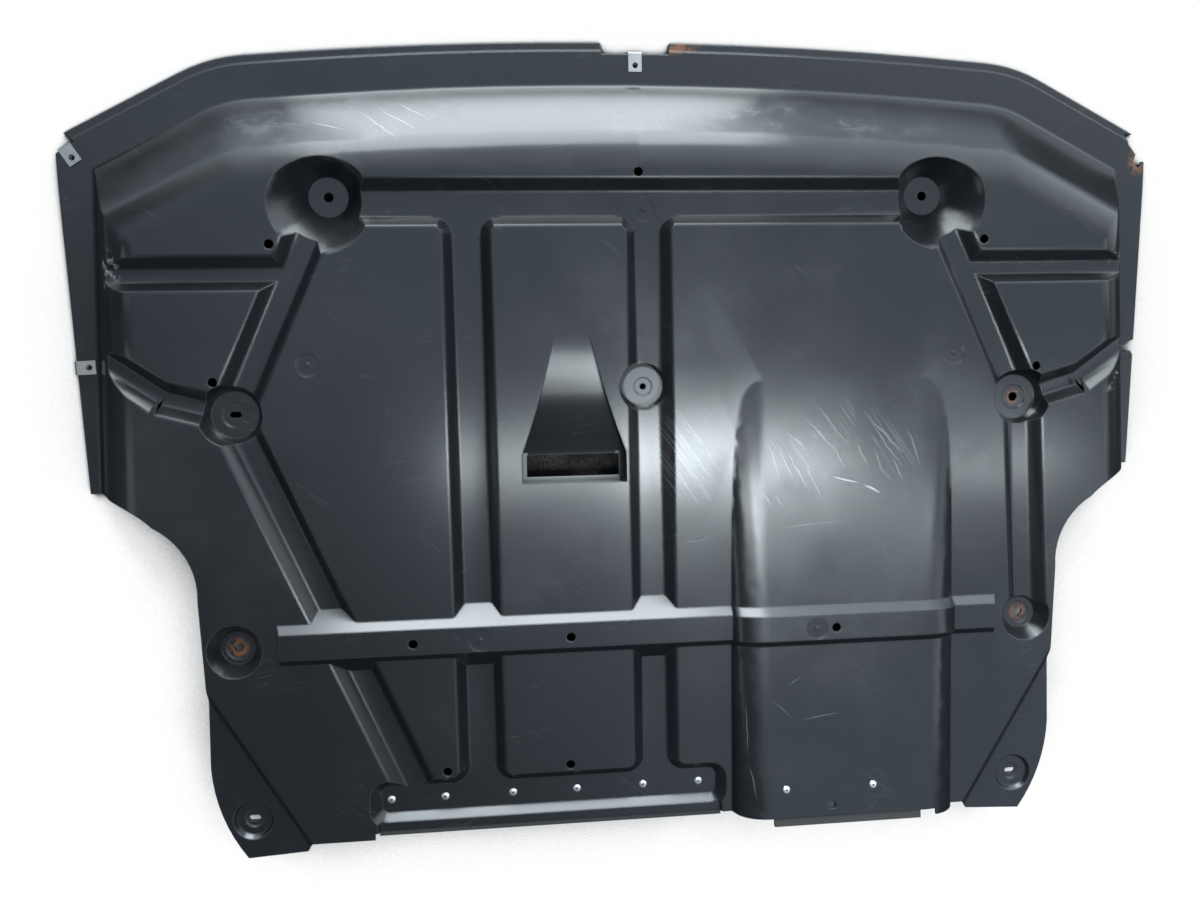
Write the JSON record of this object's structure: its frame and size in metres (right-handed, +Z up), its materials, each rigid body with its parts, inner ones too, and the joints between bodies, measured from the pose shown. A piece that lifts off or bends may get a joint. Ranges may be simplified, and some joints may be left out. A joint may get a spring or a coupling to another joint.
{
  "type": "engine splash shield",
  "caption": "Moulded black plastic undertray for a car engine bay, with stiffening channels, bolt seats, a flush air inlet, clip nuts and a riveted rear seal.",
  "frame": {"origin": "on the surface it lies on, under the middle of its outline", "axes": "+X to the right as seen from the road side with the car's front away, +Y to the car's front, +Z up, the road side facing up"},
  "size_m": [1.0705, 0.7699, 0.0866],
  "materials": {
    "black_plastic": "satin moulded polypropylene, scuffed",
    "zinc_steel": "zinc plated spring steel",
    "rivet_aluminium": "bright aluminium",
    "mandrel_steel": "dull steel",
    "seal_rubber": "rough foam rubber"
  },
  "bodies": {
    "root": {"shield_panel": "black_plastic", "clip_nuts": "zinc_steel", "blind_rivets": "rivet_aluminium", "rivet_mandrels": "mandrel_steel", "rear_seal_strips": "seal_rubber"}
  },
  "joints": []
}
